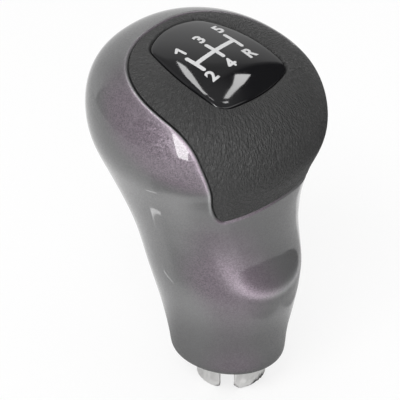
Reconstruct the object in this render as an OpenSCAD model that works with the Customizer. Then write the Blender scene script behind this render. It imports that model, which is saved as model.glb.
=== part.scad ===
// Gear shift knob for a five-speed car gearbox, in millimetres.
// +Y points to the front of the car, +X to the right, +Z up along the lever.
// The origin is on the lever's axis at the open base of the stem.

/* [Stem] */
// Half width of the base, side to side
base_half_w = 12.5; // [12:0.1:14]
// Half length of the base, front to back
base_half_l = 14; // [13.4:0.1:16]
// Rounding of the base's lower edge
base_edge_r = 1.3; // [0.5:0.1:2]
// How far the base's middle lies ahead of the lever's axis
base_y = 1.1; // [0:0.1:2]
// Half width of the stem's belly, below the finger groove
belly_half_w = 17.8; // [17:0.1:20]
// Half length of the stem's belly
belly_half_l = 18.4; // [17.5:0.1:20]
// Height of the belly
belly_z = 26; // [24:0.5:28]
// Half width of the waist under the head
waist_half_w = 18.4; // [17.8:0.1:20]
// Half length of the waist
waist_half_l = 18.3; // [17.8:0.1:20]
// Height of the waist
waist_z = 36; // [34:0.5:38]

/* [Head] */
// Half width of the head
head_half_w = 28.8; // [27.5:0.1:30]
// Half length of the head
head_half_l = 26.3; // [25.5:0.1:28]
// How far the head's middle lies ahead of the lever's axis
head_y = 6.9; // [6:0.1:8]
// Height of the head's widest place
head_z = 59.5; // [58.5:0.5:61]
// Height of the crown's middle
crown_z = 76.4; // [75.5:0.1:78]
// Slope of the crown down to the rear, in degrees
crown_tilt = 12; // [9:0.5:14]

/* [Shell] */
// Wall of the painted shell
wall = 2.8; // [2.4:0.1:3]
// Width of the lip that carries the cover's rim
lip_w = 1.8; // [1.4:0.1:2.4]
// Thickness of that lip
lip_t = 1.3; // [1:0.1:1.6]
// Radius of the finger groove at its deepest, about its own axis
groove_r = 22; // [21.6:0.1:22.6]
// Radius of the finger groove's hollow profile
groove_profile_r = 37; // [34:1:42]
// How far the groove's axis lies ahead of the lever's axis
groove_y = 8.5; // [8:0.1:9]
// Height of the groove's deepest place
groove_z = 35.5; // [34.5:0.5:36.5]

/* [Cover] */
// Half width of the cover, seen from above
cover_half_w = 22.2; // [21:0.1:23]
// Reach of the cover to the front
cover_front = 21.8; // [20.5:0.1:22.5]
// Half width of the tongue's lower end, at the rear
tongue_half_w = 16.9; // [15:0.1:18]
// Height of the tongue's lower corners
tongue_z = 46.4; // [45.5:0.1:48]
// Size of the tongue's cut lower corners
tongue_corner = 1.3; // [0.8:0.1:2]
// Rise of the tongue's lower edge to its middle
tongue_arch = 2.2; // [0.5:0.1:3]
// Thickness of the grained skin
skin_t = 1.2; // [1:0.1:1.4]
// Open seam between the cover and the shell
seam = 0.25; // [0.15:0.05:0.4]

/* [Shift plate] */
// Half width of the plate at its rear
plate_rear_half_w = 12.4; // [11:0.1:13]
// Half width of the plate at its front
plate_front_half_w = 9.8; // [9:0.1:10.4]
// Length of the plate
plate_l = 28; // [26:0.1:29]
// Radius of the plate's corners
plate_corner_r = 4.2; // [3:0.1:5]
// Bow of the plate's front and rear edges
plate_bow = 1.2; // [0.3:0.1:1.4]
// Bow of the plate's sides
plate_side_bow = 1; // [0:0.1:1.8]
// Radius of the plate's dome
plate_dome_r = 50; // [42:1:60]
// Rise of the plate's middle above the crown
plate_rise = 1.1; // [0.8:0.1:1.4]
// How far the plate's middle lies ahead of the lever's axis
plate_y = 4.7; // [4.4:0.1:5.2]
// Thickness of the plate at its middle
plate_t = 3.2; // [3:0.1:3.6]
// Thickness of the adhesive pad under the plate
pad_t = 0.4; // [0.3:0.1:0.6]
// Gap round the plate
plate_gap = 0.3; // [0.2:0.05:0.4]
// Thickness of the seat's floor
floor_t = 2.2; // [1.8:0.1:2.6]
// Thickness of the seat's side wall
seat_wall = 1.6; // [1.2:0.1:2]

/* [Insert] */
// Thread radius of the lever's hole
thread_r = 5; // [4:0.5:5]
// Depth of the thread
thread_l = 24; // [20:1:26]
// Outer radius of the three fingers
finger_r = 8.1; // [7.6:0.1:8.4]
// Reach of the fingers below the base
finger_l = 7.5; // [5:0.5:9]
// Thickness of the fingers
finger_t = 1.9; // [1.4:0.1:2.2]
// Width of the slots between the fingers
slot_w = 3.4; // [2.5:0.1:4.5]
// Corner radius of the insert's hexagon
hex_r = 7.6; // [7.2:0.1:7.8]
// Thickness of metal over the thread's blind end
insert_cap = 3; // [2:0.5:4]

/* [Core] */
// Outer radius of the core's tube
tube_r = 9.4; // [9.2:0.1:9.6]
// Thickness of the core's ribs
rib_t = 1.8; // [1.4:0.1:2.4]
// Number of ribs
rib_count = 8; // [6:1:10]
// Thickness of the core's deck
deck_t = 3; // [2:0.5:4]
// Radius of the two screw posts
post_r = 3.6; // [3.2:0.1:4]
// Distance of each post from the middle
post_x = 7; // [6.4:0.1:7.4]

/* [Screws] */
// Radius of the screws' shank
screw_r = 1.5; // [1.2:0.1:1.6]
// Length of the shank
screw_l = 13; // [10:1:16]
// Radius of the screws' head
screw_head_r = 2.8; // [2.5:0.1:3]
// Height of the screws' head
screw_head_h = 1.6; // [1.2:0.1:1.8]
// Length of the cross in the screws' head
drive_l = 3; // [2.4:0.1:3.4]
// Width of the cross's slots
drive_w = 0.6; // [0.4:0.1:0.8]
// Depth of the cross
drive_depth = 0.8; // [0.5:0.1:1]
// Thickness of the carrier's boss under the screws' head
boss_t = 2.6; // [2.2:0.1:3]

/* [Hidden] */

// Small clearances: glued and moulded faces, sliding faces, and a screw in its hole
bond_gap = 0.05;
slip_gap = 0.15;
screw_gap = 0.02;
// Overrun of a cut past the face that it opens
over = 1;
// Overlap of two solids that are moulded as one
merge = 0.5;
// Depth of the ribs' roots in the core's tube
rib_root = 1.5;
// Chamfer on the insert's ends, and the metal left above its slots
insert_chamfer = 0.7;
slot_web = 0.3;
// Step of the adhesive pad inside the plate's edge
pad_inset = 1;
// Depth of the screws' heads under the plate's seat
head_sink = 1;
// Far outside the knob
far = 60;

// Steps of the outer form, round and along, then of the inner forms
outer_sides = 56;
outer_rings = 44;
inner_sides = 32;
inner_rings = 24;

// Height at which the tongue's sides run straight up into the crown's cover,
// and the overlap there of the two spaces that make up the cover's window
tongue_top_z = head_z + 5.5;
zone_overlap = 1.5;
// Place that the tongue's space reaches forward to, inside the wall
tongue_front_y = head_y - 0.1 * head_half_l;

crown_w = 0.5 * head_half_w;
crown_l = 0.5 * head_half_l;
shoulder_z = head_z + 0.76 * (crown_z - head_z);
neck_z = waist_z + 0.69 * (head_z - waist_z);

// One guide ring: half width, half length, middle y, height, slope, squareness,
// and how far an inner form's ring sinks for each millimetre of wall.
function guide(w, l, y, z, slope, square, sink) = [w, l, y, z, slope, square, sink];

// Value a share of the way from one number to the next
function blend(from, to, share) = from + share * (to - from);

GUIDES = [
    guide(base_half_w - base_edge_r, base_half_l - base_edge_r, base_y, 0, 0, 2.05, 0),
    guide(base_half_w - 0.2, base_half_l - 0.2, base_y, 0, 0, 2.05, 0),
    guide(base_half_w, base_half_l, base_y, 2 * base_edge_r, 0, 2.05, 0),
    guide(blend(base_half_w, belly_half_w, 0.15), blend(base_half_l, belly_half_l, 0.13),
        base_y + 0.3, 0.3 * belly_z, 0.5, 2.05, 0),
    guide(blend(base_half_w, belly_half_w, 0.55), blend(base_half_l, belly_half_l, 0.55),
        base_y + 0.1, 0.62 * belly_z, 1, 2.05, 0),
    guide(belly_half_w, belly_half_l, base_y + 1.2, belly_z, 1.5, 2.05, 0),
    guide(waist_half_w, waist_half_l, blend(base_y, head_y, 0.65), waist_z, 2, 2.05, 0),
    guide(blend(waist_half_w, head_half_w, 0.55), blend(waist_half_l, head_half_l, 0.56),
        head_y + 1, neck_z, 0.44 * crown_tilt, 2.15, 0),
    guide(head_half_w, head_half_l, head_y, head_z, 0.66 * crown_tilt, 2.15, 0.1),
    guide(0.942 * head_half_w, 0.942 * head_half_l, head_y + 1.1, shoulder_z, 0.88 * crown_tilt, 2.15, 0.75),
    guide(crown_w, crown_l, head_y - 2.1, crown_z, crown_tilt, 2.15, 1),
    guide(0.3, 0.3, head_y - 2.1, crown_z, 1.1 * crown_tilt, 2.05, 1)
];

// The guide at a place in the list, held at both ends
function guide_at(i) = GUIDES[max(0, min(len(GUIDES) - 1, i))];

// Smooth ring at t, from 0 at the base to len(GUIDES) + 1 at the crown
function smooth_ring(t) =
    let (i = min(floor(t), len(GUIDES)), s = t - i)
    (pow(1 - s, 3) * guide_at(i - 2)
        + (3 * pow(s, 3) - 6 * s * s + 4) * guide_at(i - 1)
        + (3 * s * s + 3 * s + 1 - 3 * pow(s, 3)) * guide_at(i)
        + pow(s, 3) * guide_at(i + 1)) / 6;

// A power that keeps its sign, for rounded-square outlines
function signed_pow(v, e) = sign(v) * pow(abs(v), e);

// A ring's half size set in by the depth d, less so close to the crown's middle
function set_in(half, d) = half - min(d, half / 3);

// Points of one ring, set in by the depth d
function ring_points(ring, sides, d) =
    let (w = set_in(ring[0], d), l = set_in(ring[1], d), e = 2 / ring[5])
    [for (k = [0:sides - 1])
        let (a = 360 * k / sides, v = l * signed_pow(sin(a), e))
        [w * signed_pow(cos(a), e), ring[2] + v, ring[3] - d * ring[6] + tan(ring[4]) * v]];

// Solid of the knob's form, set in by the depth d, with its base let down by drop
module form(d, rings, sides, drop = 0) {
    t_end = len(GUIDES) + 1;
    levels = [for (j = [0:rings]) ring_points(smooth_ring(t_end * j / rings), sides, d)];
    base = [for (p = levels[0]) [p[0], p[1], p[2] - drop]];
    all_levels = drop > 0 ? concat([base], levels) : levels;
    count = len(all_levels);
    points = [for (level = all_levels) each level];
    side_faces = [for (j = [0:count - 2], k = [0:sides - 1])
        let (a = j * sides + k, b = j * sides + (k + 1) % sides)
        each [[a, a + sides, b], [b, a + sides, b + sides]]];
    bottom = [for (k = [0:sides - 1]) k];
    top = [for (k = [sides - 1:-1:0]) (count - 1) * sides + k];
    polyhedron(points, concat(side_faces, [bottom, top]), convexity = 8);
}

module outer_form() {
    form(0, outer_rings, outer_sides);
}

module inner_form(d) {
    difference() {
        form(d, inner_rings, inner_sides, over);
        finger_groove(d);
    }
}

// Ring-shaped cut that leaves the hollow for the fingers under the tongue
module finger_groove(d = 0) {
    middle_r = groove_r + groove_profile_r;
    translate([0, groove_y, groove_z])
    rotate_extrude($fn = 80)
    intersection() {
        translate([middle_r, 0]) circle(r = groove_profile_r + d, $fn = 80);
        translate([0, -far / 2]) square([far, far]);
    }
}

// Outline of the cover seen from above: straight sides and a round front
module cover_plan(grow) {
    w = cover_half_w + grow;
    front = cover_front + grow;
    arc = [for (a = [0:5:180]) [w * signed_pow(cos(a), 2 / 2.4), front * signed_pow(sin(a), 2 / 2.4)]];
    polygon(concat(arc, [[-w, -far], [w, -far]]));
}

// Half width of the tongue, seen from behind, at a share of its height
function tongue_w(share) = cover_half_w - (cover_half_w - tongue_half_w) * pow(1 - share, 1.8);

// Outline of the tongue seen from behind, with its arched lower edge
module tongue_outline(grow) {
    top = tongue_top_z;
    corner_z = tongue_z + tongue_corner;
    right = [for (s = [0:0.1:1]) [tongue_w(s) + grow, blend(corner_z, top, s)]];
    left = [for (s = [1:-0.1:0]) [-tongue_w(s) - grow, blend(corner_z, top, s)]];
    edge_w = tongue_half_w - tongue_corner + grow;
    edge = [for (x = [-1:0.1:1])
        [x * edge_w, tongue_z - grow + tongue_arch * (1 - x * x)]];
    polygon(concat([[cover_half_w + grow, top + far / 6]], [for (k = [10:-1:0]) right[k]],
        [for (k = [20:-1:0]) edge[k]], [for (k = [10:-1:0]) left[k]],
        [[-cover_half_w - grow, top + far / 6]]));
}

// Space of the cover and its carrier, grown on all its edges
module cover_zone(grow = 0) {
    translate([0, 0, tongue_top_z - zone_overlap]) linear_extrude(far) cover_plan(grow);
    translate([0, tongue_front_y, 0]) rotate([90, 0, 0]) linear_extrude(far) tongue_outline(grow);
}

// Block under the crown that holds the plate's seat
module seat_block(grow = 0) {
    plate_place()
    translate([0, 0, -plate_t - pad_t - floor_t - grow])
    linear_extrude(far) plate_outline(plate_gap + seat_wall + grow);
}

// Painted shell: stem, front and hood in one moulding, with a window for the cover
module shell() {
    color([0.45, 0.44, 0.45])
    resize([0, 0, 0])
    difference() {
        union() {
            difference() {
                outer_form();
                cover_zone();
                finger_groove();
            }
            difference() {
                form(wall + slip_gap, inner_rings, inner_sides);
                finger_groove(wall + slip_gap);
            }
        }
        difference() {
            inner_form(wall);
            cover_zone(over);
        }
        inner_form(wall + lip_t);
        cover_zone(-lip_w);
        seat_block(slip_gap);
    }
}

// Place of the shift plate: its middle on top of the dome, sloping to the rear
module plate_place() {
    translate([0, plate_y, crown_z + plate_rise]) rotate([crown_tilt, 0, 0]) children();
}

// Outline of the shift plate, wider at its rear, with all four sides bowed out
module plate_outline(grow = 0) {
    inset = plate_corner_r;
    half_l = plate_l / 2 - inset;
    rear_w = plate_rear_half_w - inset;
    front_w = plate_front_half_w - inset;
    rear = [for (x = [-1:0.25:1]) [x * rear_w, -half_l + plate_bow * x * x]];
    front = [for (x = [1:-0.25:-1]) [x * front_w, half_l - plate_bow * x * x]];
    side = [for (s = [0.125:0.125:0.875])
        [blend(rear_w, front_w, s) + 4 * s * (1 - s) * plate_side_bow, (half_l - plate_bow) * (2 * s - 1)]];
    far_side = [for (k = [len(side) - 1:-1:0]) [-side[k][0], side[k][1]]];
    offset(r = inset + grow, $fn = 40) polygon(concat(rear, side, front, far_side));
}

// Gloss plate with a domed top
module shift_plate() {
    color([0.03, 0.03, 0.03])
    plate_place()
    intersection() {
        translate([0, 0, -plate_t]) linear_extrude(plate_t + over) plate_outline();
        translate([0, 0, -plate_dome_r]) sphere(plate_dome_r, $fn = 128);
    }
}

// Adhesive pad between the plate and its seat
module plate_pad() {
    color([0.2, 0.2, 0.2])
    plate_place()
    translate([0, 0, -plate_t - pad_t]) linear_extrude(pad_t) plate_outline(-pad_inset);
}

// Pocket that the plate and its pad sit in
module plate_pocket() {
    plate_place()
    translate([0, 0, -plate_t - pad_t]) linear_extrude(far) plate_outline(plate_gap);
}

// Soft grained skin over the crown, the rear and the tongue
module cover() {
    color([0.2, 0.2, 0.2])
    resize([0, 0, 0])
    difference() {
        intersection() {
            outer_form();
            cover_zone(-seam);
        }
        form(skin_t, outer_rings, outer_sides);
        plate_pocket();
    }
}

// Heights of the screws' seat, the carrier's bosses and the posts' tops
screw_seat_z = crown_z + plate_rise - plate_t - pad_t - screw_head_h - head_sink;
boss_end_z = screw_seat_z - boss_t;
post_top_z = boss_end_z - slip_gap;

module at_posts() {
    for (side = [-1, 1]) translate([side * post_x, plate_y, 0]) children();
}

// Rigid moulding under the skin, with the plate's seat and two screw bosses
module carrier() {
    color([0.1, 0.1, 0.1])
    resize([0, 0, 0])
    difference() {
        union() {
            difference() {
                intersection() {
                    form(skin_t + bond_gap, outer_rings, outer_sides);
                    cover_zone(-seam);
                }
                form(wall, inner_rings, inner_sides, over);
            }
            intersection() {
                form(skin_t + bond_gap, outer_rings, outer_sides);
                union() {
                    seat_block();
                    at_posts() translate([0, 0, boss_end_z]) cylinder(h = crown_z - boss_end_z, r = post_r, $fn = 32);
                }
            }
        }
        plate_pocket();
        at_posts() translate([0, 0, screw_seat_z]) cylinder(h = far, r = screw_head_r + slip_gap, $fn = 32);
        at_posts() cylinder(h = far * 2, r = screw_r + slip_gap, $fn = 24);
    }
}

// Heights of the core's foot, deck and of the insert's hexagon
core_foot_z = 3.5;
hex_top_z = thread_l + insert_cap;
deck_z = hex_top_z + 1.5;

// Inner core: hexagon tube on the insert, ribs against the shell, deck and posts
module core() {
    color([0.75, 0.73, 0.68])
    difference() {
        union() {
            translate([0, 0, core_foot_z]) cylinder(h = deck_z - core_foot_z + merge, r = tube_r, $fn = 48);
            resize([0, 0, 0])
            intersection() {
                inner_form(wall + slip_gap);
                union() {
                    for (k = [0:rib_count - 1])
                        rotate([0, 0, 360 * (k + 0.5) / rib_count])
                        translate([tube_r - rib_root, -rib_t / 2, core_foot_z])
                        cube([far, rib_t, deck_z - core_foot_z + merge]);
                    translate([-far / 2, -far / 2, deck_z]) cube([far, far, deck_t]);
                }
            }
            at_posts() translate([0, 0, deck_z + deck_t - merge])
            cylinder(h = post_top_z - deck_z - deck_t + merge, r = post_r, $fn = 32);
        }
        translate([0, 0, core_foot_z - over])
        cylinder(h = hex_top_z - core_foot_z + over + bond_gap, r = hex_r + bond_gap, $fn = 6);
        at_posts() translate([0, 0, screw_seat_z - screw_l - over])
        cylinder(h = far, r = screw_r + screw_gap, $fn = 24);
    }
}

// Height of the insert's round part, from the fingers' ends to under the core
collar_h = finger_l + core_foot_z - slip_gap;

// Turned metal insert: blind threaded hole above, three fingers below
module lever_insert() {
    color([0.8, 0.79, 0.76])
    difference() {
        union() {
            translate([0, 0, -finger_l])
            rotate_extrude($fn = 64)
            polygon([
                [0, 0], [finger_r - insert_chamfer, 0], [finger_r, insert_chamfer],
                [finger_r, collar_h - insert_chamfer], [finger_r - insert_chamfer, collar_h], [0, collar_h]
            ]);
            cylinder(h = hex_top_z, r = hex_r, $fn = 6);
        }
        cylinder(h = thread_l, r = thread_r, $fn = 64);
        translate([0, 0, -finger_l - over]) cylinder(h = finger_l + over, r = finger_r - finger_t, $fn = 64);
        for (a = [90, 210, 330])
            rotate([0, 0, a])
            translate([0, -slot_w / 2, -finger_l - over])
            cube([finger_r + over, slot_w, finger_l + over - slot_web]);
    }
}

// Two pan-head screws that pull the carrier down on the core
module carrier_screws() {
    color([0.6, 0.6, 0.62])
    at_posts() {
        translate([0, 0, screw_seat_z - screw_l]) cylinder(h = screw_l + merge, r = screw_r, $fn = 24);
        translate([0, 0, screw_seat_z])
        difference() {
            cylinder(h = screw_head_h, r = screw_head_r, $fn = 32);
            for (a = [0, 90]) rotate([0, 0, a])
                translate([-drive_l / 2, -drive_w / 2, screw_head_h - drive_depth]) cube([drive_l, drive_w, over]);
        }
    }
}

shell();
cover();
carrier();
shift_plate();
plate_pad();
core();
lever_insert();
carrier_screws();
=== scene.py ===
import math

import bpy
import numpy as np
from mathutils import Euler, Matrix, Vector


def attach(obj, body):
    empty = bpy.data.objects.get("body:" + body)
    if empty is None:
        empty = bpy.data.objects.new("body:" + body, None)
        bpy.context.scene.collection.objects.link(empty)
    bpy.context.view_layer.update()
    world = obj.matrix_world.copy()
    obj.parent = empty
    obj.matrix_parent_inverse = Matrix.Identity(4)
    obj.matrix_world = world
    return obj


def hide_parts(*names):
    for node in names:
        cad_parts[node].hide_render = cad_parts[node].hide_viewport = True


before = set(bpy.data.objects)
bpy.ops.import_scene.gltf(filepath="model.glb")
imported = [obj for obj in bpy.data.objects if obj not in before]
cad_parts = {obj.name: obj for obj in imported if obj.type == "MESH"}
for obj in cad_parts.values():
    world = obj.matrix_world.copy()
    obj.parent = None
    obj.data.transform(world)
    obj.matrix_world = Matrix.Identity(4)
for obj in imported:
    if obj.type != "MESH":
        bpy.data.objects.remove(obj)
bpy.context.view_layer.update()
bpy.ops.object.select_all(action="DESELECT")


# Painted shell
# One injection moulding in ABS: the stem, the hood round the crown and the
# window's lip. It is sprayed grey, with a pearl flake under a clear lacquer.

MM = 0.001
WALL = 2.8
LIP_WIDTH = 1.8
LIP_THICKNESS = 1.3
SHELL_EDGE = 0.9

# Guide rings from the base to the crown: half width, half length, middle y,
# height, slope in degrees, squareness, and sink for each millimetre of depth
GUIDES = np.array([
    [11.2, 12.7, 1.1, 0.0, 0.0, 2.05, 0.0],
    [12.3, 13.8, 1.1, 0.0, 0.0, 2.05, 0.0],
    [12.5, 14.0, 1.1, 2.6, 0.0, 2.05, 0.0],
    [13.295, 14.572, 1.4, 7.8, 0.5, 2.05, 0.0],
    [15.415, 16.42, 1.2, 16.12, 1.0, 2.05, 0.0],
    [17.8, 18.4, 2.3, 26.0, 1.5, 2.05, 0.0],
    [18.4, 18.3, 4.87, 36.0, 2.0, 2.05, 0.0],
    [24.12, 22.78, 7.9, 52.215, 5.28, 2.15, 0.0],
    [28.8, 26.3, 6.9, 59.5, 7.92, 2.15, 0.1],
    [27.13, 24.77, 8.0, 72.344, 10.56, 2.15, 0.75],
    [14.4, 13.15, 4.8, 76.4, 12.0, 2.15, 1.0],
    [0.3, 0.3, 4.8, 76.4, 13.2, 2.05, 1.0],
])
CROWN_T = len(GUIDES) + 1.0


def ring_at(t):
    """The form's smooth ring at t, from 0 at the base to CROWN_T at the crown."""
    t = np.clip(np.asarray(t, float), 0.0, CROWN_T)
    i = np.minimum(np.floor(t).astype(int), len(GUIDES))
    s = (t - i)[..., None]
    last = len(GUIDES) - 1
    before, here, after, next_on = (GUIDES[np.clip(i + k, 0, last)] for k in (-2, -1, 0, 1))
    return ((1 - s) ** 3 * before + (3 * s ** 3 - 6 * s * s + 4) * here
            + (3 * s * s + 3 * s + 1 - 3 * s ** 3) * after + s ** 3 * next_on) / 6


def form_point(t, angle, depth=0.0):
    """A point of the form, in millimetres, set in by depth."""
    w, l, y, z, slope, square, sink = np.moveaxis(ring_at(t), -1, 0)
    w = w - np.minimum(depth, w / 3)
    l = l - np.minimum(depth, l / 3)
    c, s = np.cos(angle), np.sin(angle)
    x = w * np.sign(c) * np.abs(c) ** (2 / square)
    v = l * np.sign(s) * np.abs(s) ** (2 / square)
    return np.stack([x, y + v, z - depth * sink + np.tan(np.radians(slope)) * v], -1)


GROOVE_RADIUS = 22.0
GROOVE_PROFILE = 37.0
GROOVE_Y = 8.5
GROOVE_Z = 35.5
GROOVE_ROLL = 0.13
GROOVE_ROLL_WIDTH = 0.8
GROOVE_SHARP_TOP = 6.0
GROOVE_END = -16.0
GROOVE_SOFT_EDGE = 1.0
GROOVE_SHARP_EDGE = 0.2


def groove_reach(points, depth=0.0):
    """Height over the groove's middle, way from its axis, and the wall there."""
    z = points[..., 2] - GROOVE_Z
    radius = np.hypot(points[..., 0], points[..., 1] - GROOVE_Y)
    profile = GROOVE_PROFILE + depth
    limit = GROOVE_RADIUS + GROOVE_PROFILE - np.sqrt(np.maximum(profile ** 2 - z ** 2, 0))
    return z, radius, limit


def with_groove(points, depth=0.0):
    """Presses the finger groove into points of the form, with a soft edge and a rolled rim."""
    z, radius, limit = groove_reach(points, depth)
    fade = np.clip((GROOVE_SHARP_TOP - z) / 8, 0, 1)
    soft = GROOVE_SHARP_EDGE + (GROOVE_SOFT_EDGE - GROOVE_SHARP_EDGE) * fade * fade * (3 - 2 * fade)
    near = np.maximum(soft - np.abs(radius - limit), 0) / soft
    pressed = np.minimum(radius, limit) - near * near * soft / 4
    if depth == 0:
        low = np.clip((GROOVE_SHARP_TOP + 2 - z) / 6, 0, 1) * np.clip((z - GROOVE_END) / 4, 0, 1)
        pressed += GROOVE_ROLL * low * np.exp(-((radius - limit + 0.1) / GROOVE_ROLL_WIDTH) ** 2)
    share = pressed / np.maximum(radius, 1e-6)
    out = points.copy()
    out[..., 0] = points[..., 0] * share
    out[..., 1] = GROOVE_Y + (points[..., 1] - GROOVE_Y) * share
    return out


def groove_rim(points):
    """How near points of the form lie to the groove's lower rim, from 0 to 1, which sets the painted
    highlight there.
    """
    z, radius, limit = groove_reach(points)
    low = np.clip((GROOVE_SHARP_TOP - z) / 15, 0, 1) ** 1.6 * np.clip((z - GROOVE_END) / 4, 0, 1)
    return low * np.exp(-((radius - limit + 0.05) / 0.36) ** 2)


def slopes(t, angle, depth=0.0):
    """How the form's point moves with t and with the angle."""
    h = 1e-4
    by_t = (form_point(t + h, angle, depth) - form_point(t - h, angle, depth)) / (2 * h)
    by_angle = (form_point(t, angle + h, depth) - form_point(t, angle - h, depth)) / (2 * h)
    return by_t, by_angle


def find_on_form(targets, axes, low_t, high_t, rear):
    """The t and angle at which two of the form's coordinates meet the targets."""
    ts = np.linspace(low_t, high_t, 160)
    angles = np.linspace(-math.pi, 0, 241) if rear else np.linspace(-math.pi, math.pi, 481)
    grid_t, grid_a = (g.ravel() for g in np.meshgrid(ts, angles, indexing="ij"))
    table = form_point(grid_t, grid_a)[:, axes]
    start = np.array([np.argmin(((table - p) ** 2).sum(1)) for p in targets])
    t, a = grid_t[start], grid_a[start]
    for _ in range(12):
        miss = targets - form_point(t, a)[:, axes]
        by_t, by_a = (d[:, axes] for d in slopes(t, a))
        det = by_t[:, 0] * by_a[:, 1] - by_t[:, 1] * by_a[:, 0]
        det = np.where(np.abs(det) < 1e-6, 1e-6, det)
        t = t + np.clip((miss[:, 0] * by_a[:, 1] - miss[:, 1] * by_a[:, 0]) / det, -0.2, 0.2)
        a = a + np.clip((by_t[:, 0] * miss[:, 1] - by_t[:, 1] * miss[:, 0]) / det, -0.1, 0.1)
    return t, a


COVER_HALF_WIDTH = 22.2
COVER_FRONT = 21.8
COVER_ROUND = 2.4
TONGUE_HALF_WIDTH = 16.9
TONGUE_CORNER = 1.3
TONGUE_LOW = 46.4
TONGUE_ARCH = 2.2
TONGUE_TOP = 65.0
WINDOW_SOFTNESS = 0.3
COLUMNS = 320


def window_half():
    """The window's edge on the form, from the front's middle round the right to the rear's."""
    turn = np.linspace(math.pi / 2, 0, 90)
    arc = np.stack([COVER_HALF_WIDTH * np.cos(turn) ** (2 / COVER_ROUND),
                    COVER_FRONT * np.sin(turn) ** (2 / COVER_ROUND)], 1)
    side_end = TONGUE_TOP + 3.0
    end_t, end_a = find_on_form(np.array([[COVER_HALF_WIDTH, side_end]]), [0, 2], 7.5, 11.0, True)
    side_y = np.linspace(0, form_point(end_t, end_a)[0, 1], 20)[1:-1]
    side = np.stack([np.full_like(side_y, COVER_HALF_WIDTH), side_y], 1)
    t1, a1 = find_on_form(np.concatenate([arc, side]), [0, 1], 8.6, CROWN_T - 0.4, False)
    drop = np.linspace(side_end, TONGUE_TOP, 12)[:-1]
    straight = np.stack([np.full_like(drop, COVER_HALF_WIDTH), drop], 1)
    share = np.linspace(1, 0, 60)
    flank = np.stack([
        COVER_HALF_WIDTH - (COVER_HALF_WIDTH - TONGUE_HALF_WIDTH) * (1 - share) ** 1.8,
        TONGUE_LOW + TONGUE_CORNER + share * (TONGUE_TOP - TONGUE_LOW - TONGUE_CORNER)], 1)
    across = np.linspace(1, 0, 50)
    edge = np.stack([across * (TONGUE_HALF_WIDTH - TONGUE_CORNER),
                     TONGUE_LOW + TONGUE_ARCH * (1 - across ** 2)], 1)
    t2, a2 = find_on_form(np.concatenate([straight, flank, edge]), [0, 2], 5.5, 11.0, True)
    return np.concatenate([t1, t2]), np.concatenate([a1, a2])


def even_steps(t, angle, count, soften=0.0):
    """Resamples a closed line on the form to even steps, its corners softened."""
    points = form_point(t, angle)
    length = np.concatenate([[0], np.cumsum(np.linalg.norm(np.diff(points, axis=0), axis=1))])
    many = 8 * count
    s = np.linspace(0, length[-1], many, endpoint=False)
    fine_t = np.interp(s, length, t)
    fine_a = np.interp(s, length, angle)
    if soften > 0:
        reach = int(3 * soften / (length[-1] / many)) + 1
        weight = np.exp(-0.5 * (np.arange(-reach, reach + 1) * length[-1] / many / soften) ** 2)
        weight /= weight.sum()
        drift = (angle[-1] - angle[0]) * np.arange(many) / many
        pad = lambda v: np.concatenate([v[-reach:], v, v[:reach]])
        fine_t = np.convolve(pad(fine_t), weight, "valid")
        fine_a = np.convolve(pad(fine_a - drift), weight, "valid") + drift
    return fine_t[::8], fine_a[::8]


def whole_line(half_t, half_a, count, soften=0.0):
    """Mirrors the right half of a line to the left and spaces its points evenly."""
    t = np.concatenate([half_t, half_t[-2::-1]])
    a = np.concatenate([half_a, -math.pi - half_a[-2::-1]])
    return even_steps(t, a, count, soften)


half_t, half_a = window_half()
window_t, window_a = whole_line(half_t, half_a, COLUMNS, WINDOW_SOFTNESS)


def unit(vectors):
    """Brings vectors to a length of 1."""
    return vectors / np.linalg.norm(vectors, axis=1)[:, None]


def normal_and_along(t, angle, way):
    """The form's normal, and a way that is laid into its surface."""
    by_t, by_a = slopes(t, angle)
    normal = unit(np.cross(by_a, by_t))
    return normal, unit(way - (way * normal).sum(1)[:, None] * normal)


def line_frame(t, angle):
    """Points of a closed line on the form, with the form's normal and the way across the line."""
    p = form_point(t, angle)
    normal, along = normal_and_along(t, angle, np.roll(p, -1, 0) - np.roll(p, 1, 0))
    away = np.cross(along, normal)
    middle = p.mean(0)
    if ((p - middle) * away).sum() < 0:
        away = -away
    if ((p - np.array([0, 5, 55])) * normal).sum() < 0:
        normal = -normal
    return p, normal, away


def step_across(t, angle, away, distance):
    """The t and angle of points moved across a line on the form."""
    by_t, by_a = slopes(t, angle)
    move = away * distance
    tt, aa, ta = (by_t * by_t).sum(1), (by_a * by_a).sum(1), (by_t * by_a).sum(1)
    mt, ma = (move * by_t).sum(1), (move * by_a).sum(1)
    det = tt * aa - ta * ta
    return t + (mt * aa - ma * ta) / det, angle + (tt * ma - ta * mt) / det


def walk_across(t, angle, away, distance, steps=28):
    """Moves points across a line on the form for some way, turning with the surface."""
    for _ in range(steps):
        away = normal_and_along(t, angle, away)[1]
        t, angle = step_across(t, angle, away, distance / steps)
    return t, angle


def even_rows(t, angle, rows, surface):
    """Spaces the rows between two lines evenly along each column."""
    points = surface(t, angle)
    steps = np.linalg.norm(np.diff(points, axis=0), axis=2)
    length = np.concatenate([np.zeros((1, steps.shape[1])), np.cumsum(steps, axis=0)])
    share = np.linspace(0, 1, rows)
    out_t = np.empty((rows, t.shape[1]))
    out_a = np.empty_like(out_t)
    for k in range(t.shape[1]):
        out_t[:, k] = np.interp(share * length[-1, k], length[:, k], t[:, k])
        out_a[:, k] = np.interp(share * length[-1, k], length[:, k], angle[:, k])
    return out_t, out_a


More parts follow.
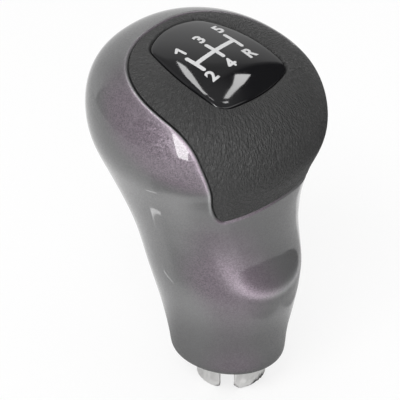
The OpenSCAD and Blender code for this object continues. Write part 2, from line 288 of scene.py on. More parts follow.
def closed_rings(name, rings):
    """A closed mesh through rings of points in millimetres; the last ring joins the first."""
    rings = np.stack(rings)
    count, sides = rings.shape[:2]
    points = rings.reshape(-1, 3) * MM
    row = np.arange(count)[:, None] * sides
    row_on = np.roll(np.arange(count), -1)[:, None] * sides
    side = np.arange(sides)[None, :]
    side_on = np.roll(np.arange(sides), -1)[None, :]
    quads = np.stack([row + side, row_on + side, row_on + side_on, row + side_on], -1).reshape(-1, 4)
    corner = points[quads]
    volume = (np.cross(corner[:, 0], corner[:, 1]) * corner[:, 2]).sum()
    volume += (np.cross(corner[:, 0], corner[:, 2]) * corner[:, 3]).sum()
    if volume < 0:
        quads = quads[:, ::-1]
    mesh = bpy.data.meshes.new(name)
    mesh.vertices.add(len(points))
    mesh.vertices.foreach_set("co", points.ravel())
    mesh.loops.add(quads.size)
    mesh.loops.foreach_set("vertex_index", quads.ravel())
    mesh.polygons.add(len(quads))
    mesh.polygons.foreach_set("loop_start", np.arange(0, quads.size, 4))
    mesh.polygons.foreach_set("use_smooth", np.ones(len(quads), bool))
    mesh.update()
    mesh.validate()
    piece = bpy.data.objects.new(name, mesh)
    bpy.context.collection.objects.link(piece)
    return piece


def round_over(edge, normal, inward, radius, degrees):
    """Rings that round an edge over, from the face on its inward side down to its wall."""
    rings = []
    for turn in np.radians(degrees):
        back = radius * (1 - math.sin(turn))
        drop = radius * (1 - math.cos(turn))
        rings.append(edge + inward * back - normal * drop)
    return rings


def store(piece, name, kind, values):
    """Stores a value or a vector for each of a piece's points."""
    field = "vector" if kind == "FLOAT_VECTOR" else "value"
    piece.data.attributes.new(name, kind, "POINT").data.foreach_set(field, values.ravel())


OUTER_ROWS = 150
INNER_ROWS = 56
# Painted highlight: how much lighter the paint is on the last two rows of the face and on each row of the rim
RIM_PAINTED_HIGHLIGHT = [0.08, 0.4, 1.3, 1.7, 1.7, 1.5, 1.2, 0.9, 0.6, 0.3, 0.1]
# Painted highlight on the groove's rim: how much lighter the paint is there
GROOVE_PAINTED_HIGHLIGHT = 1.3


def make_shell():
    """The shell's outer face, its window's edge and lip, and its inner face, with a painted highlight stored
    along the window's edge and the groove's rim.
    """
    edge, normal, away = line_frame(window_t, window_a)
    top_t, top_a = step_across(window_t, window_a, away, SHELL_EDGE)
    turn = np.linspace(math.pi / 2, -1.5 * math.pi, 1441)
    base_t, base_a = even_steps(np.zeros_like(turn), turn, COLUMNS)
    # Each column leaves the base upright and meets the window's edge square on
    near_t, near_a = walk_across(window_t, window_a, away, 7.0)
    s = np.linspace(0, 1, 600)[:, None]
    up_t = base_t + 0.4 * (near_t - base_t)
    up_a = base_a + 0.15 * (near_a - base_a)
    blend = [(1 - s) ** 3, 3 * s * (1 - s) ** 2, 3 * s * s * (1 - s), s ** 3]
    t = blend[0] * base_t + blend[1] * up_t + blend[2] * near_t + blend[3] * top_t
    a = blend[0] * base_a + blend[1] * up_a + blend[2] * near_a + blend[3] * top_a
    outer = lambda tt, aa: with_groove(form_point(tt, aa))
    out_t, out_a = even_rows(t, a, OUTER_ROWS, outer)
    rings = list(outer(out_t, out_a))
    # The pressed groove may lower the edge a little: the rim follows the last row
    rim = with_groove(edge + away * SHELL_EDGE) - edge - away * SHELL_EDGE
    rings += [ring + rim for ring in round_over(edge, normal, away, SHELL_EDGE, np.linspace(10, 90, 9))]
    floor = form_point(window_t, window_a, WALL)
    under = form_point(window_t, window_a, WALL + LIP_THICKNESS)
    rings.append(edge + 0.5 * (floor - edge) + 0.5 * rim)
    rings.append(floor)
    rings.append(floor - away * LIP_WIDTH)
    rings.append(under - away * LIP_WIDTH)
    rings.append(under + away * 0.4)
    in_t, in_a = even_rows(t[:-24], a[:-24], INNER_ROWS, outer)
    inner = with_groove(form_point(in_t, in_a, WALL), WALL)
    rings += list(inner[::-1])
    made = closed_rings("shell_painted", rings)
    # Painted highlight along the window's edge and the groove's rim, stored as the edge value
    lit = np.zeros(len(rings))
    lit[OUTER_ROWS - 2:OUTER_ROWS - 2 + len(RIM_PAINTED_HIGHLIGHT)] = RIM_PAINTED_HIGHLIGHT
    # The painted highlight fades to the right, under the tongue and near the crown
    side = np.clip((8 - edge[:, 0]) / 16, 0.1, 1) * np.clip((edge[:, 2] - 47) / 9, 0.08, 1)
    side *= np.clip((77 - edge[:, 2]) / 2.5, 0.2, 1)
    painted_highlight = np.outer(lit, side)
    painted_highlight[:OUTER_ROWS] += GROOVE_PAINTED_HIGHLIGHT * groove_rim(form_point(out_t, out_a))
    store(made, "edge", "FLOAT", painted_highlight)
    return made


def textured(name, roughness, metallic=0.0):
    """A material with its Principled shader and the object coordinates."""
    material = bpy.data.materials.new(name)
    material.use_nodes = True
    nodes = material.node_tree.nodes
    shader = nodes["Principled BSDF"]
    shader.inputs["Roughness"].default_value = roughness
    shader.inputs["Metallic"].default_value = metallic
    place = nodes.new("ShaderNodeTexCoord")
    return material, shader, place.outputs["Object"]


def node(material, kind, inputs=None, **settings):
    """A node in the material's tree, its inputs linked or set."""
    tree = getattr(material, "node_tree", material)
    made = tree.nodes.new(kind)
    for key, value in settings.items():
        setattr(made, key, value)
    for key, value in (inputs or {}).items():
        if isinstance(value, bpy.types.NodeSocket):
            tree.links.new(value, made.inputs[key])
        else:
            made.inputs[key].default_value = value
    return made


def join(material, source, target):
    """Links an output to an input."""
    getattr(material, "node_tree", material).links.new(source, target)


def maths(material, operation, *values):
    """The result of a sum on values that are linked or set."""
    return node(material, "ShaderNodeMath", dict(enumerate(values)), operation=operation).outputs[0]


def vector_maths(material, operation, *values):
    """The result of a sum on vectors or colours."""
    return node(material, "ShaderNodeVectorMath", dict(enumerate(values)), operation=operation).outputs[0]


def scaled(material, colour, factor):
    """A colour or a vector times a factor."""
    return node(material, "ShaderNodeVectorMath", {0: colour, "Scale": factor}, operation="SCALE").outputs[0]


def ranged(material, value, low, high, from_low=0.0, from_high=1.0, **settings):
    """Takes a value from one range to another."""
    limits = {"From Min": from_low, "From Max": from_high, "To Min": low, "To Max": high}
    return node(material, "ShaderNodeMapRange", {"Value": value, **limits}, **settings).outputs[0]


def noise(material, vector, scale, detail):
    """Uneven values over the piece."""
    inputs = {"Vector": vector, "Scale": scale, "Detail": detail}
    return node(material, "ShaderNodeTexNoise", inputs).outputs["Fac"]


def stored(material, name):
    """The value stored at the piece's points."""
    return node(material, "ShaderNodeAttribute", attribute_name=name).outputs["Fac"]


def new_group(name, inputs, outputs):
    """A node group with its named inputs and outputs, each with its kind of socket."""
    group = bpy.data.node_groups.new(name, "ShaderNodeTree")
    for way, sockets in (("INPUT", inputs), ("OUTPUT", outputs)):
        for socket, kind in sockets.items():
            group.interface.new_socket(name=socket, in_out=way, socket_type="NodeSocket" + kind)
    return group, group.nodes.new("NodeGroupInput").outputs, group.nodes.new("NodeGroupOutput").inputs


def flake_group():
    """Pearl flake: tiny cells, each with its own brightness and tilt."""
    group, given, result = new_group(
        "pearl flake",
        {"Vector": "Vector", "Colour": "Color", "Scale": "Float", "Contrast": "Float", "Tilt": "Float"},
        {"Colour": "Color", "Normal": "Vector"})
    cells = node(group, "ShaderNodeTexVoronoi", {"Vector": given["Vector"], "Scale": given["Scale"]})
    parts = node(group, "ShaderNodeSeparateColor", {"Color": cells.outputs["Color"]})
    swing = maths(group, "MULTIPLY", maths(group, "SUBTRACT", parts.outputs["Red"], 0.5), given["Contrast"])
    join(group, scaled(group, given["Colour"], maths(group, "ADD", swing, 1.0)), result["Colour"])
    surface = node(group, "ShaderNodeNewGeometry").outputs["Normal"]
    lean = vector_maths(group, "SUBTRACT", cells.outputs["Color"], (0.5, 0.5, 0.5))
    total = vector_maths(group, "ADD", surface, scaled(group, lean, given["Tilt"]))
    join(group, vector_maths(group, "NORMALIZE", total), result["Normal"])
    return group


def pearl_lacquer():
    """Grey pearl base coat under a clear lacquer, a little purple where it faces the eye, with a painted
    highlight along the window's edge and the groove's rim.
    """
    paint, shader, place = textured("pearl grey lacquer", 0.42, 0.35)
    turned = node(paint, "ShaderNodeLayerWeight", {"Blend": 0.5}).outputs["Facing"]
    facing = ranged(paint, turned, 0.0, 1.0, 0.17, 0.45, interpolation_type="SMOOTHSTEP")
    colours = {"Factor": facing, 6: (0.170, 0.143, 0.167, 1), 7: (0.141, 0.141, 0.143, 1)}
    shade = node(paint, "ShaderNodeMix", colours, data_type="RGBA").outputs[2]
    drift = ranged(paint, noise(paint, place, 60.0, 2.0), 0.96, 1.04)
    # Painted highlight: the base colour is lighter by the stored edge value along the window's edge and the
    # groove's rim
    lift = maths(paint, "MULTIPLY_ADD", stored(paint, "edge"), 1.15, drift)
    flake = node(paint, "ShaderNodeGroup", node_tree=flake_group())
    join(paint, place, flake.inputs["Vector"])
    join(paint, scaled(paint, shade, lift), flake.inputs["Colour"])
    flake.inputs["Scale"].default_value = 4500.0
    join(paint, ranged(paint, facing, 0.5, 0.18), flake.inputs["Contrast"])
    flake.inputs["Tilt"].default_value = 0.28
    join(paint, flake.outputs["Colour"], shader.inputs["Base Color"])
    join(paint, flake.outputs["Normal"], shader.inputs["Normal"])
    shader.inputs["Specular IOR Level"].default_value = 0.0
    shader.inputs["Coat Weight"].default_value = 1.0
    shader.inputs["Coat Roughness"].default_value = 0.04
    return paint


shell = make_shell()
shell.data.materials.append(pearl_lacquer())
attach(shell, "root")
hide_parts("shell")


# Soft cover
# A skin of black polyurethane with a pressed leather grain, 1.2 mm thick. It
# is bonded to the carrier and wraps the crown, the rear and the tongue.

SEAM = 0.25
SKIN = 1.2
SKIN_EDGE = 0.35
SKIN_ROWS = 110
SKIN_INNER_ROWS = 40
GRAIN_MIDDLE = np.array([0.0, 5.0, 52.0])
GRAIN_RADIUS = 26.0
GRAIN_STRETCH = 0.66
PLATE_GAP = 0.3
PLATE_PLACE = np.array([0.0, 4.7, 77.5])
PLATE_TILT = math.radians(12.0)
PLATE_LENGTH = 28.0
PLATE_REAR = 12.4
PLATE_FRONT = 9.8
PLATE_CORNER = 4.2
PLATE_BOW = 1.2
PLATE_SIDE_BOW = 1.0


def plate_outline(count, grow=0.0):
    """The plate's outline, from the front's middle round the right: bowed ends, round corners."""
    half = PLATE_LENGTH / 2 - PLATE_CORNER
    front, rear = PLATE_FRONT - PLATE_CORNER, PLATE_REAR - PLATE_CORNER
    across = np.linspace(0, 1, 12)
    core = [[x * front, half - PLATE_BOW * x * x] for x in across]
    for s in np.linspace(0, 1, 16)[1:-1]:
        core.append([front + s * (rear - front) + 4 * s * (1 - s) * PLATE_SIDE_BOW,
                     (half - PLATE_BOW) * (1 - 2 * s)])
    core = np.array(core + [[x * rear, -half + PLATE_BOW * x * x] for x in across[::-1]])
    step = np.diff(core, axis=0)
    heading = np.arctan2(step[:, 0], -step[:, 1])
    points = []
    radius = PLATE_CORNER + grow
    last = math.pi / 2
    for k, p in enumerate(core):
        on = heading[k] if k < len(heading) else -math.pi / 2
        for turn in np.linspace(last, on, max(2, int(abs(last - on) / 0.05))):
            points.append([p[0] + radius * math.cos(turn), p[1] + radius * math.sin(turn)])
        last = on
    points = np.array(points)
    points = np.concatenate([points, points[-2::-1] * [-1, 1]])
    length = np.concatenate([[0], np.cumsum(np.linalg.norm(np.diff(points, axis=0), axis=1))])
    s = np.linspace(0, length[-1], count, endpoint=False)
    return np.stack([np.interp(s, length, points[:, 0]), np.interp(s, length, points[:, 1])], 1)


def on_plate(points):
    """Takes points of the plate, lying flat, to its place on the knob."""
    c, s = math.cos(PLATE_TILT), math.sin(PLATE_TILT)
    x, y, z = points[..., 0], points[..., 1], points[..., 2]
    return np.stack([x, c * y - s * z, s * y + c * z], -1) + PLATE_PLACE


def pocket_line():
    """The t and angle at which the pocket's wall comes through the form."""
    flat = plate_outline(COLUMNS, PLATE_GAP)
    h = np.zeros(COLUMNS)
    for _ in range(30):
        probe = on_plate(np.concatenate([flat, h[:, None]], 1))
        t, a = find_on_form(probe[:, :2], [0, 1], 9.8, CROWN_T - 0.02, False)
        miss = form_point(t, a)[:, 2] - probe[:, 2]
        h += miss
        if np.abs(miss).max() < 1e-4:
            break
    return t, np.unwrap(a)


pocket_t, pocket_a = pocket_line()


def make_cover():
    """The skin between the window's seam and the plate's pocket."""
    edge, normal, away = line_frame(window_t, window_a)
    rim_t, rim_a = step_across(window_t, window_a, away, -SEAM - SKIN_EDGE)
    hole, hole_normal, hole_away = line_frame(pocket_t, pocket_a)
    lip_t, lip_a = step_across(pocket_t, pocket_a, hole_away, SKIN_EDGE)
    flat = lambda t, a: np.stack([(CROWN_T - t) * np.cos(a), (CROWN_T - t) * np.sin(a)], -1)
    start, end = flat(lip_t, lip_a), flat(rim_t, rim_a)
    s = np.linspace(0, 1, 500)[:, None, None]
    lines = start + s * (end - start)
    t = CROWN_T - np.hypot(lines[..., 0], lines[..., 1])
    a = np.unwrap(np.arctan2(lines[..., 1], lines[..., 0]), axis=0)
    out_t, out_a = even_rows(t, a, SKIN_ROWS, form_point)
    rings = list(form_point(out_t, out_a))
    bends = np.array([22.5, 45, 67.5, 90])
    rings += round_over(edge - away * SEAM, normal, -away, SKIN_EDGE, bends)
    rings.append(form_point(window_t, window_a, SKIN) - away * SEAM)
    in_t, in_a = even_rows(t, a, SKIN_INNER_ROWS, form_point)
    rings += list(form_point(in_t, in_a, SKIN)[::-1])
    rings.append(form_point(pocket_t, pocket_a, SKIN))
    rings += round_over(hole, hole_normal, hole_away, SKIN_EDGE, bends[::-1])
    made = closed_rings("cover_skin", rings)
    # The grain runs down from the crown on all sides
    points = np.concatenate(rings) - GRAIN_MIDDLE
    turn = np.arctan2(points[:, 1], points[:, 0])
    down = np.arctan2(np.hypot(points[:, 0], points[:, 1]), points[:, 2])
    way = GRAIN_RADIUS * MM * np.stack([np.cos(turn), np.sin(turn), GRAIN_STRETCH * down], -1)
    store(made, "grain way", "FLOAT_VECTOR", way)
    return made


def grain_group():
    """Pressed leather grain: pebbles of two sizes, with wandering edges."""
    group, given, result = new_group(
        "leather grain", {"Vector": "Vector", "Scale": "Float"}, {"Height": "Float"})
    wander = node(group, "ShaderNodeTexNoise", {"Vector": given["Vector"], "Scale": 700.0, "Detail": 2.0})
    moved = vector_maths(group, "ADD", given["Vector"], scaled(group, wander.outputs["Color"], 0.0009))
    drawn = node(group, "ShaderNodeMapping", {"Vector": moved, "Scale": (1.1, 1.1, 1.0)}).outputs[0]
    inputs = {"Vector": drawn, "Scale": given["Scale"]}
    large = node(group, "ShaderNodeTexVoronoi", inputs, feature="SMOOTH_F1")
    large.inputs["Smoothness"].default_value = 0.35
    finer = maths(group, "MULTIPLY", given["Scale"], 2.3)
    small = node(group, "ShaderNodeTexVoronoi", {"Vector": drawn, "Scale": finer})
    mixed = maths(group, "MULTIPLY_ADD", small.outputs["Distance"], 0.45, large.outputs["Distance"])
    join(group, maths(group, "SUBTRACT", 1.0, mixed), result["Height"])
    return group


def emboss(material, shader, height, strength, distance):
    """Bumps the surface by a height."""
    bump = node(material, "ShaderNodeBump", {"Height": height, "Strength": strength, "Distance": distance})
    join(material, bump.outputs["Normal"], shader.inputs["Normal"])


def grained_skin():
    """Black polyurethane skin, satin on the pebbles and duller in the valleys."""
    skin, shader = textured("grained black skin", 0.55)[:2]
    grain = node(skin, "ShaderNodeGroup", node_tree=grain_group())
    way = node(skin, "ShaderNodeAttribute", attribute_name="grain way")
    join(skin, way.outputs["Vector"], grain.inputs["Vector"])
    grain.inputs["Scale"].default_value = 1450.0
    height = grain.outputs["Height"]
    emboss(skin, shader, height, 1.0, 0.00036)
    tone = ranged(skin, height, 0.030, 0.056, 0.3, 0.9)
    colour = node(skin, "ShaderNodeCombineColor", {0: tone, 1: tone, 2: tone})
    join(skin, colour.outputs[0], shader.inputs["Base Color"])
    join(skin, ranged(skin, height, 0.60, 0.40, 0.3, 0.9), shader.inputs["Roughness"])
    return skin


cover = make_cover()
cover.data.materials.append(grained_skin())
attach(cover, "root")
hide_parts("cover")


# Carrier
# A stiff black ABS moulding under the skin. It rests on the shell's lip, and
# holds the plate's seat and the two screw bosses. The CAD piece is its shape.


def moulded(name, colour, roughness, grain, depth):
    """Plain moulded plastic with a fine spark-eroded texture."""
    plastic, shader, place = textured(name, roughness)
    spots = noise(plastic, place, grain, 4.0)
    emboss(plastic, shader, spots, 0.5, depth)
    join(plastic, scaled(plastic, colour, ranged(plastic, spots, 0.85, 1.15)), shader.inputs["Base Color"])
    return plastic


def finish_node(name, material):
    """Gives a CAD piece that stays its material."""
    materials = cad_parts[name].data.materials
    materials.clear()
    materials.append(material)


finish_node("carrier", moulded("black moulding", (0.03, 0.03, 0.03), 0.6, 3000.0, 0.00004))


# Shift plate
# A lens of gloss black polycarbonate with a domed top and rounded edges. It
# is glued on a pad in the carrier's seat, a hair below the skin all round.

PLATE_DOME = 50.0
PLATE_THICKNESS = 3.2
PLATE_EDGE = 0.5
PLATE_BACK_EDGE = 0.3
PLATE_POINTS = 192


def dome(points):
    """The height of the dome over flat points of the plate."""
    flat = (points ** 2).sum(-1)
    return np.sqrt(PLATE_DOME ** 2 - flat) - PLATE_DOME


def pick(piece):
    """Selects one piece alone and makes it the active one."""
    bpy.ops.object.select_all(action="DESELECT")
    piece.select_set(True)
    bpy.context.view_layer.objects.active = piece


def edit(piece, work):
    """Runs work on the whole of a piece in edit mode, with no other piece selected."""
    pick(piece)
    bpy.ops.object.mode_set(mode="EDIT")
    bpy.ops.mesh.select_all(action="SELECT")
    work()
    bpy.ops.object.mode_set(mode="OBJECT")


def point_outwards():
    """Turns all faces of the piece in edit mode outwards."""
    bpy.ops.mesh.select_all(action="SELECT")
    bpy.ops.mesh.normals_make_consistent(inside=False)


def make_plate():
    """The plate: a domed top in shrinking rings, a rounded edge and a flat back."""
    outline = plate_outline(PLATE_POINTS)
    rings = []
    for share in (0.02, 0.1, 0.2, 0.3, 0.4, 0.5, 0.6, 0.7, 0.78, 0.86, 0.92):
        flat = plate_outline(PLATE_POINTS, -PLATE_EDGE) * share
        rings.append(np.concatenate([flat, dome(flat)[:, None]], 1))
    for turn in np.radians([0, 15, 30, 45, 60, 75, 90]):
        flat = plate_outline(PLATE_POINTS, -PLATE_EDGE * (1 - math.sin(turn)))
        drop = PLATE_EDGE * (1 - math.cos(turn))
        rings.append(np.concatenate([flat, (dome(flat) - drop)[:, None]], 1))
    low = np.full((PLATE_POINTS, 1), -PLATE_THICKNESS)
    rings.append(np.concatenate([outline, low + PLATE_BACK_EDGE], 1))
    for flat in (plate_outline(PLATE_POINTS, -PLATE_BACK_EDGE), outline * 0.5, outline * 0.02):
        rings.append(np.concatenate([flat, low], 1))
    plate = closed_rings("shift_plate_lens", [on_plate(ring) for ring in rings])
    # The last ring joins the first through the middle: that tube is taken out and both holes closed
    def choose_faces():
        bpy.ops.mesh.select_all(action="DESELECT")
        bpy.ops.mesh.select_mode(type="FACE")
    edit(plate, choose_faces)
    for face in plate.data.polygons:
        face.select = {v // PLATE_POINTS for v in face.vertices} == {0, len(rings) - 1}
    bpy.ops.object.mode_set(mode="EDIT")
    bpy.ops.mesh.delete(type="FACE")
    bpy.ops.mesh.select_all(action="SELECT")
    bpy.ops.mesh.fill_holes(sides=0)
    point_outwards()
    bpy.ops.object.mode_set(mode="OBJECT")
    return plate


def gloss_lens():
    """High gloss black with the faint smears of a handled lens."""
    lens, shader, place = textured("gloss black lens", 0.04)
    shader.inputs["Base Color"].default_value = (0.009, 0.009, 0.010, 1)
    join(lens, ranged(lens, noise(lens, place, 180.0, 3.0), 0.03, 0.07), shader.inputs["Roughness"])
    return lens


plate = make_plate()
plate.data.materials.append(gloss_lens())
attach(plate, "root")
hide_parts("shift_plate")


# Shift pattern
# Pale grey ink, printed on the lens: a crossbar, three gates, the numbers of
# the five gears and the letter of the reverse.

INK_HEIGHT = 0.03
STROKE = 1.02
SIGN_STROKE = 0.66
SIGN_HEIGHT = 3.0
SIGN_SPREAD = 1.18
SIGN_BOLD = 0.036
CROSSBAR_Y = 0.7
GATE_X = (-6.45, 0.3, 7.1)
GATE_LOW, GATE_HIGH = -1.55, 3.1


def lay_on_dome(piece, lift):
    """Bends a flat mesh, in millimetres, over the plate's dome and puts it in place."""
    mesh = piece.data
    points = np.empty(len(mesh.vertices) * 3)
    mesh.vertices.foreach_get("co", points)
    points = points.reshape(-1, 3)
    points[:, 2] += dome(points[:, :2]) + lift
    mesh.vertices.foreach_set("co", (on_plate(points) * MM).ravel())
    mesh.update()


def thicken():
    """Gives flat print its thickness and clean normals."""
    point_outwards()
    bpy.ops.mesh.extrude_region_move(TRANSFORM_OT_translate={"value": (0, 0, -2 * INK_HEIGHT)})
    point_outwards()


def stroke(name, start, end, lift, width=STROKE):
    """One printed stroke with round ends."""
    start, end = np.array(start, float), np.array(end, float)
    way = (end - start) / np.linalg.norm(end - start)
    side = np.array([-way[1], way[0]])
    points = []
    for middle, first in ((end, -90), (start, 90)):
        for turn in np.radians(np.linspace(first, first + 180, 13)):
            points.append(middle + width / 2 * (way * math.cos(turn) + side * math.sin(turn)))
    bpy.ops.mesh.primitive_circle_add(vertices=len(points), radius=1, fill_type="NGON")
    piece = bpy.context.object
    piece.name = name
    for vertex, p in zip(piece.data.vertices, points):
        vertex.co = (p[0], p[1], 0)
    cuts = int(np.linalg.norm(end - start) / 0.8)
    def slice_up():
        for k in range(1, cuts):
            middle = start + (end - start) * k / cuts
            bpy.ops.mesh.select_all(action="SELECT")
            bpy.ops.mesh.bisect(plane_co=(middle[0], middle[1], 0), plane_no=(way[0], way[1], 0))
        thicken()
    edit(piece, slice_up)
    lay_on_dome(piece, lift)
    return piece


def character(name, body, place, height):
    """One printed number or letter, a little bolder than the font."""
    bpy.ops.object.text_add(location=(0, 0, 0))
    text = bpy.context.object
    text.data.body = body
    text.data.size = 1.0
    text.data.offset = SIGN_BOLD
    text.data.align_x = "CENTER"
    text.data.resolution_u = 6
    bpy.ops.object.convert(target="MESH")
    piece = bpy.context.object
    piece.name = name
    points = np.array([v.co[:] for v in piece.data.vertices])
    low, high = points.min(0), points.max(0)
    size = height / (high[1] - low[1])
    middle = (low + high) / 2
    for vertex in piece.data.vertices:
        across = (vertex.co.x - middle[0]) * size * SIGN_SPREAD
        vertex.co = (across + place[0], (vertex.co.y - middle[1]) * size + place[1], 0)
    def refine():
        bpy.ops.mesh.remove_doubles(threshold=0.01)
        for _ in range(2):
            bpy.ops.mesh.subdivide(number_cuts=1)
            bpy.ops.mesh.select_all(action="SELECT")
        thicken()
    edit(piece, refine)
    lay_on_dome(piece, INK_HEIGHT)
    return piece


def pale_ink():
    """Screen-printed ink, almost even, a little worn."""
    ink, shader, place = textured("pale grey ink", 0.45)
    worn = ranged(ink, noise(ink, place, 1600.0, 3.0), 0.92, 1.04)
    join(ink, scaled(ink, (0.66, 0.66, 0.665), worn), shader.inputs["Base Color"])
    return ink


ink = pale_ink()
strokes = [stroke("pattern_crossbar", (GATE_X[0], CROSSBAR_Y), (GATE_X[2], CROSSBAR_Y), INK_HEIGHT)]
for side, x in zip(("left", "middle", "right"), GATE_X):
    strokes.append(stroke("pattern_gate_" + side, (x, GATE_LOW), (x, GATE_HIGH), INK_HEIGHT * 0.8))
signs = [
    ("gear_two", "2", (-6.6, -4.0)),
    ("gear_three", "3", (1.0, 5.75)),
    ("gear_five", "5", (8.0, 5.8)),
    ("gear_reverse", "R", (6.7, -4.3)),
]
for name, body, place in signs:
    strokes.append(character(name, body, place, SIGN_HEIGHT))
# The one and the four are drawn as strokes, each a hair lower than the last where they cross
drawn = [
    ("gear_one_bar", (-5.3, 4.6), (-5.3, 7.0)),
    ("gear_one_flag", (-5.3, 7.0), (-6.35, 6.3)),
    ("gear_four_stem", (0.2, -5.2), (0.2, -2.95)),
    ("gear_four_slope", (0.2, -2.95), (-1.15, -4.6)),
    ("gear_four_bar", (-1.15, -4.6), (0.85, -4.6)),
]
for k, (name, start, end) in enumerate(drawn):
    strokes.append(stroke(name, start, end, INK_HEIGHT * (1 - 0.15 * (k % 3)), SIGN_STROKE))
for piece in strokes:
    piece.data.materials.append(ink)
    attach(piece, "root")


# Plate pad
# A die-cut pad of black adhesive foam. It lies between the lens and its seat,
# and holds the lens down. The CAD piece is its shape.

finish_node("plate_pad", moulded("adhesive foam", (0.05, 0.05, 0.05), 0.9, 5200.0, 0.00012))


# Core
# A glass-filled nylon moulding: a tube pressed on the insert's hexagon, ribs
# against the shell, and a deck with the posts that the screws bite in.

finish_node("core", moulded("natural nylon", (0.42, 0.40, 0.35), 0.5, 1800.0, 0.00003))


# Lever insert
# Cast and turned zinc alloy: a blind hole for the lever's thread, a hexagon in
# the core, and three fingers below, parted by sawn slots with rough edges.

BROKEN_EDGE = 0.2
SMOOTH_ANGLE = math.radians(35)
SLOT_TURN = 90.0
# Heights at which the fingers are cut across, so that their ends can be shaped
FINGER_ROWS = (-2.5, -3.7, -4.9, -6.1, -7.0)
CORNER_RISE = 1.25
RAGGED = 0.12
BURR_TURN = 275.0
BURR_WIDTH = 22.0


def turned_metal():
    """Bright turned zinc alloy: fine rings round the axis, dull spots, and a darker colour towards the
    fingers' lower ends.
    """
    metal, shader, place = textured("turned zinc alloy", 0.45, 0.4)
    tall = node(metal, "ShaderNodeMapping", {"Vector": place, "Scale": (0.05, 0.05, 1.0)}).outputs[0]
    emboss(metal, shader, noise(metal, tall, 5200.0, 3.0), 0.35, 0.00004)
    join(metal, ranged(metal, noise(metal, place, 420.0, 5.0), 0.36, 0.6), shader.inputs["Roughness"])
    # Darker towards the fingers' lower ends, most at their corners and where the saw ran out, broken up by
    # noise
    broken = maths(metal, "MULTIPLY", stored(metal, "darker_ends"), noise(metal, place, 900.0, 4.0))
    darker_ends = ranged(metal, broken, 1.0, 0.08, 0.08, 0.20)
    join(metal, scaled(metal, (0.78, 0.775, 0.765), darker_ends), shader.inputs["Base Color"])
    return metal


def saw_ends(piece):
    """Slants the fingers' lower corners and roughens their ends, most where the saw ran out."""
    points = np.array([v.co[:] for v in piece.data.vertices]) / MM
    turn = np.degrees(np.arctan2(points[:, 1], points[:, 0])) % 360
    way = (turn - SLOT_TURN) % 120
    low = np.clip((FINGER_ROWS[0] - points[:, 2]) / 5.0, 0, 1)
    corner = np.clip((np.abs(way - 60) - 36) / 15, 0, 1) * np.where(way < 60, 1.2, 0.75)
    rough = np.exp(-((turn - BURR_TURN) / BURR_WIDTH) ** 2)
    ragged = 0.5 + 0.3 * np.sin(turn * 0.9) + 0.2 * np.sin(turn * 2.3 + 1)
    points[:, 2] += low ** 1.5 * (CORNER_RISE * corner ** 1.3 + (RAGGED + 0.4 * rough) * ragged)
    piece.data.vertices.foreach_set("co", (points * MM).ravel())
    # How much darker the colour is towards the fingers' lower ends, most at their corners and where the saw
    # ran out
    store(piece, "darker_ends", "FLOAT", low ** 3 * (0.16 + 0.6 * corner + 0.8 * rough))
    piece.data.update()


def make_insert():
    """A copy of the CAD piece with its sharp edges broken and its fingers' ends sawn."""
    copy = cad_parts["lever_insert"].copy()
    copy.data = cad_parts["lever_insert"].data.copy()
    copy.name = "insert_turned"
    copy.data.name = "insert_turned"
    copy.parent = None
    copy.data.materials.clear()
    bpy.context.collection.objects.link(copy)
    def clean():
        bpy.ops.mesh.remove_doubles(threshold=0.000001)
        bpy.ops.mesh.tris_convert_to_quads()
        bpy.ops.mesh.dissolve_limited(angle_limit=math.radians(0.5))
        for z in FINGER_ROWS:
            bpy.ops.mesh.select_all(action="SELECT")
            bpy.ops.mesh.bisect(plane_co=(0, 0, z * MM), plane_no=(0, 0, 1))
    edit(copy, clean)
    bevel = copy.modifiers.new("broken edges", "BEVEL")
    bevel.width = BROKEN_EDGE * MM
    bevel.segments = 2
    bevel.limit_method = "ANGLE"
    bevel.angle_limit = SMOOTH_ANGLE
    bpy.ops.object.modifier_apply(modifier="broken edges")
    saw_ends(copy)
    bpy.ops.object.shade_smooth_by_angle(angle=SMOOTH_ANGLE)
    return copy


insert = make_insert()
metal = turned_metal()
insert.data.materials.append(metal)
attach(insert, "root")
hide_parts("lever_insert")


# Lever thread
# The turns of the M10 x 1.5 thread in the insert's blind hole. They are tapped
# in the same metal, and hold the knob on its lever.

THREAD_RADIUS = 5.0
THREAD_PITCH = 1.5
THREAD_DEPTH = 0.75
THREAD_TURNS = 15


def make_thread():
    """One ridge wound up the hole's wall, from a triangle on its side."""
    bpy.ops.mesh.primitive_circle_add(vertices=3, radius=1, fill_type="NGON")
    ridge = bpy.context.object
    ridge.name = "insert_thread"
    half = 0.44 * THREAD_PITCH
    root = THREAD_RADIUS - 0.01
    corners = [(root, -half), (THREAD_RADIUS - THREAD_DEPTH, 0), (root, half)]
    for vertex, (r, z) in zip(ridge.data.vertices, corners):
        vertex.co = (r * MM, 0, (z + 0.5 * THREAD_PITCH) * MM)
    winding = ridge.modifiers.new("turns", "SCREW")
    winding.axis = "Z"
    winding.screw_offset = THREAD_PITCH * MM
    winding.iterations = THREAD_TURNS
    winding.steps = 40
    winding.render_steps = 40
    winding.use_merge_vertices = False
    pick(ridge)
    bpy.ops.object.modifier_apply(modifier="turns")
    def close_ends():
        bpy.ops.mesh.remove_doubles(threshold=0.0000001)
        bpy.ops.mesh.fill_holes(sides=0)
        point_outwards()
    edit(ridge, close_ends)
    bpy.ops.object.shade_smooth_by_angle(angle=math.radians(40))
    return ridge


thread = make_thread()
thread.data.materials.append(metal)
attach(thread, "root")


# Carrier screws
# Two pan-head thread-forming screws in zinc-plated steel. They pull the
# carrier down on the core's posts, under the plate. The CAD piece is their shape.


